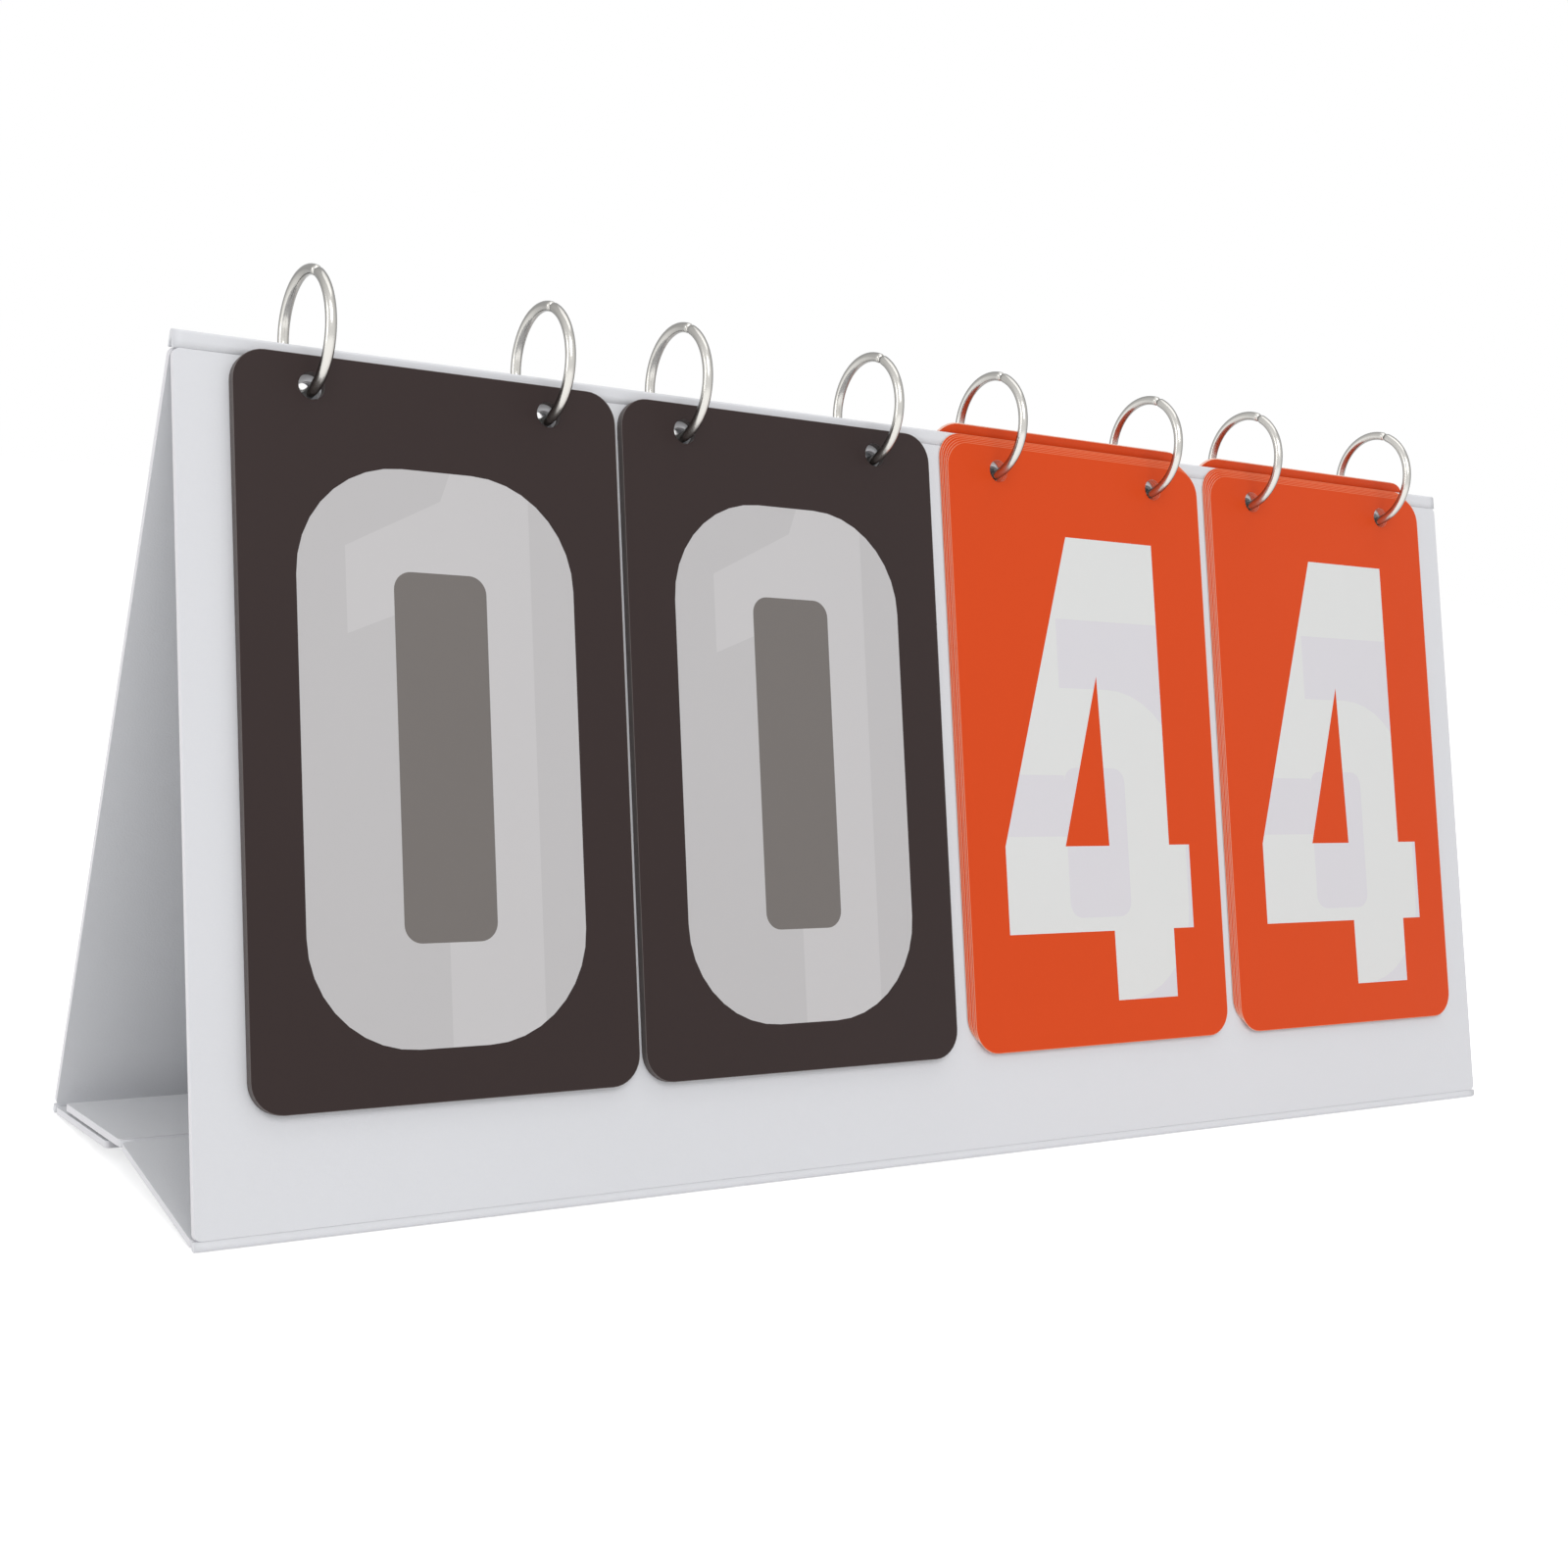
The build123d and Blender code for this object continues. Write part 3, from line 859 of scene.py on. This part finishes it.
# %% One card
def card(letter, number, place, in_front):
    """One number card, at its place in the stack on the front or back panel."""
    red = letter in "cd"
    slip, top_edge = card_place(red, place, in_front)
    offset = BOARD / 2 + FIRST_GAP + place * CARD_PITCH
    down, out = (FRONT_DOWN, FRONT_OUT) if in_front else (BACK_DOWN, BACK_OUT)
    outline = rounded_box(-CARD_W / 2, 0, CARD_W / 2, CARD_H, CARD_R, 10)
    # How far in from the edge the painted rim highlight runs.
    rim = HIGHLIGHT_WIDTH_RED if red else HIGHLIGHT_WIDTH_BLACK
    inner = rounded_box(rim - CARD_W / 2, rim, CARD_W / 2 - rim, CARD_H - rim, CARD_R - rim, 10)
    drop = hole_drop(offset) - top_edge
    hole_r = HOLE_R if in_front else HOLE_R_BEHIND
    holes = [disc(side * RING_SPACING / 2, drop, hole_r) for side in (-1, 1)]
    own = placed_digit(number)
    following = placed_digit((number + 1) % 10)

    def paint(points):
        face, reverse = printed(points, number, own, following, inner)
        return (face, reverse, WALL) if in_front else (reverse, face, WALL)

    origin = RIDGE + ACROSS * (STACK_X[letter] + slip) + down * top_edge
    obj = sheet(f"card_{letter}_{number}_sheet", outline, holes, [inner] + [s for _, s in own + following],
                paint, CARD_T, offset, origin, down, out, RED_COLOURS if red else BLACK_COLOURS)
    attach(obj, f"card_{letter}_{number}_body")
    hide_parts(f"card_{letter}_{number}")


print("each card is", CARD_W, "by", CARD_H, "mm")

# %% Forty cards
TURNED = {"a": 0, "b": 0, "c": 4, "d": 4}
for letter, turned in TURNED.items():
    for place, number in enumerate(range(9, turned - 1, -1)):
        card(letter, number, place, True)
    for place, number in enumerate(range(turned)):
        card(letter, number, place, False)

# %% [markdown]
# ## The fastening tapes
# The two tapes between the flap and the base are small flat plates, out of sight in most views. New meshes
# would add nothing, so the solids are carried over and only get their finish.

# %% Finishes on carried-over pieces
for node in ("hook_strip", "loop_strip"):
    piece = bpy.data.objects.get(node)
    if piece is not None:
        piece.data.materials.clear()
        piece.data.materials.append(tape)
print("tapes finished")


# %% [markdown]
# ## Floor, light and camera
# The board stands in a white studio, with one broad light from the upper left and a bright surround. More
# light would whiten the floor, but also wash out the board. So floor and surround are white to the camera
# and to mirrors, and softer as a light on the board.

# %% Floor
FLOOR_HALF = 6.0
FLOOR_GAP = 0.2
FLOOR_GLOW = 0.55


def looked_at(tree):
    """1 for rays from the camera, a mirror or glass, and 0 for rays that only carry light."""
    path = tree.nodes.new("ShaderNodeLightPath")
    direct = math_node(tree, "MAXIMUM", path.outputs["Is Camera Ray"], path.outputs["Is Glossy Ray"])
    return math_node(tree, "MAXIMUM", direct, path.outputs["Is Transmission Ray"])


floor_material = bpy.data.materials.new("pale_floor")
floor_material.use_nodes = True
floor_tree = floor_material.node_tree
floor_shader = floor_tree.nodes["Principled BSDF"]
floor_shader.inputs["Base Color"].default_value = (0.9, 0.9, 0.9, 1)
floor_shader.inputs["Roughness"].default_value = 0.9
floor_shader.inputs["Specular IOR Level"].default_value = 0.0
floor_shader.inputs["Emission Color"].default_value = (1.0, 1.0, 1.0, 1)
glow = math_node(floor_tree, "MULTIPLY", looked_at(floor_tree), FLOOR_GLOW)
floor_tree.links.new(glow, floor_shader.inputs["Emission Strength"])

floor_mesh = bpy.data.meshes.new("floor")
square = [(x * FLOOR_HALF, y * FLOOR_HALF, 0) for x, y in ((-1, -1), (1, -1), (1, 1), (-1, 1))]
floor_mesh.from_pydata(square, [], [(0, 1, 2, 3)])
floor_mesh.materials.append(floor_material)
floor = placed("floor", floor_mesh)
floor.location.z = -FLOOR_GAP * MM
print("floor", 2 * FLOOR_HALF, "m wide")


# %% World
ROOM_LIGHT, WHITE = 0.55, 1.0


def background(tree, strength):
    """A white background shader of this strength."""
    node = tree.nodes.new("ShaderNodeBackground")
    node.inputs["Color"].default_value = (1.0, 1.0, 1.0, 1)
    node.inputs["Strength"].default_value = strength
    return node.outputs[0]


world = bpy.data.worlds.new("studio")
bpy.context.scene.world = world
world.use_nodes = True
world_tree = world.node_tree
world_tree.nodes.clear()
pick = world_tree.nodes.new("ShaderNodeMixShader")
world_tree.links.new(looked_at(world_tree), pick.inputs[0])
world_tree.links.new(background(world_tree, ROOM_LIGHT), pick.inputs[1])
world_tree.links.new(background(world_tree, WHITE), pick.inputs[2])
surround = world_tree.nodes.new("ShaderNodeOutputWorld")
world_tree.links.new(pick.outputs[0], surround.inputs["Surface"])
print("world", world.name)


# %% Lamps
def lamp(name, place, target, energy, width, height):
    """A rectangular soft light aimed at a point."""
    data = bpy.data.lights.new(name, "AREA")
    data.shape = "RECTANGLE"
    data.size, data.size_y, data.energy = width, height, energy
    obj = placed(name, data)
    obj.location = place
    obj.rotation_mode = "QUATERNION"
    obj.rotation_quaternion = (Vector(target) - Vector(place)).to_track_quat("-Z", "Y")


lamp("key", (-0.5, -1.5, 1.3), (0, 0, 0.08), 11.0, 1.2, 0.9)
lamp("top", (0.2, 0.1, 1.8), (0, 0, 0.05), 7.0, 1.6, 1.2)
lamp("side", (-1.6, 0.15, 0.45), (0, 0, 0.06), 3.5, 0.8, 0.8)

# %% [markdown]
# ## The camera
# The camera's place, turn and lens come from the edges of the panels and cards, which were matched to
# the photograph by least squares. Aiming by eye would leave the slopes of the edges wrong. The picture is
# square, and the axis sits a little right of its middle.

# %% Camera
FRAME_PX = 1600.0
FOCAL_PX, AXIS_X, AXIS_Y = 2210.9, 900.0, 804.0
AZ, EL, ROLL = math.radians(37.14), math.radians(7.66), math.radians(6.24)
PLACE = np.array([-340.5, -443.9, 159.8])
SENSOR = 36.0

forward = np.array([math.sin(AZ) * math.cos(EL), math.cos(AZ) * math.cos(EL), -math.sin(EL)])
level = np.cross(forward, [0, 0, 1.0])
level /= np.linalg.norm(level)
upright = np.cross(level, forward)
right = math.cos(ROLL) * level + math.sin(ROLL) * upright
up = -math.sin(ROLL) * level + math.cos(ROLL) * upright

cam_data = bpy.data.cameras.new("camera")
cam_data.sensor_width = SENSOR
cam_data.lens = FOCAL_PX * SENSOR / FRAME_PX
cam_data.shift_x = -(AXIS_X - FRAME_PX / 2) / FRAME_PX
cam_data.shift_y = (AXIS_Y - FRAME_PX / 2) / FRAME_PX
cam_data.clip_start, cam_data.clip_end = 0.02, 50.0
cam = placed("camera", cam_data)
aim = Matrix([[right[i], up[i], -forward[i]] for i in range(3)])
cam.matrix_world = Matrix.Translation(Vector(PLACE * MM)) @ aim.to_4x4()
bpy.context.scene.camera = cam
bpy.context.scene.view_settings.view_transform = "Standard"
print("lens", round(cam_data.lens, 1), "mm, shift", round(cam_data.shift_x, 4), round(cam_data.shift_y, 4))
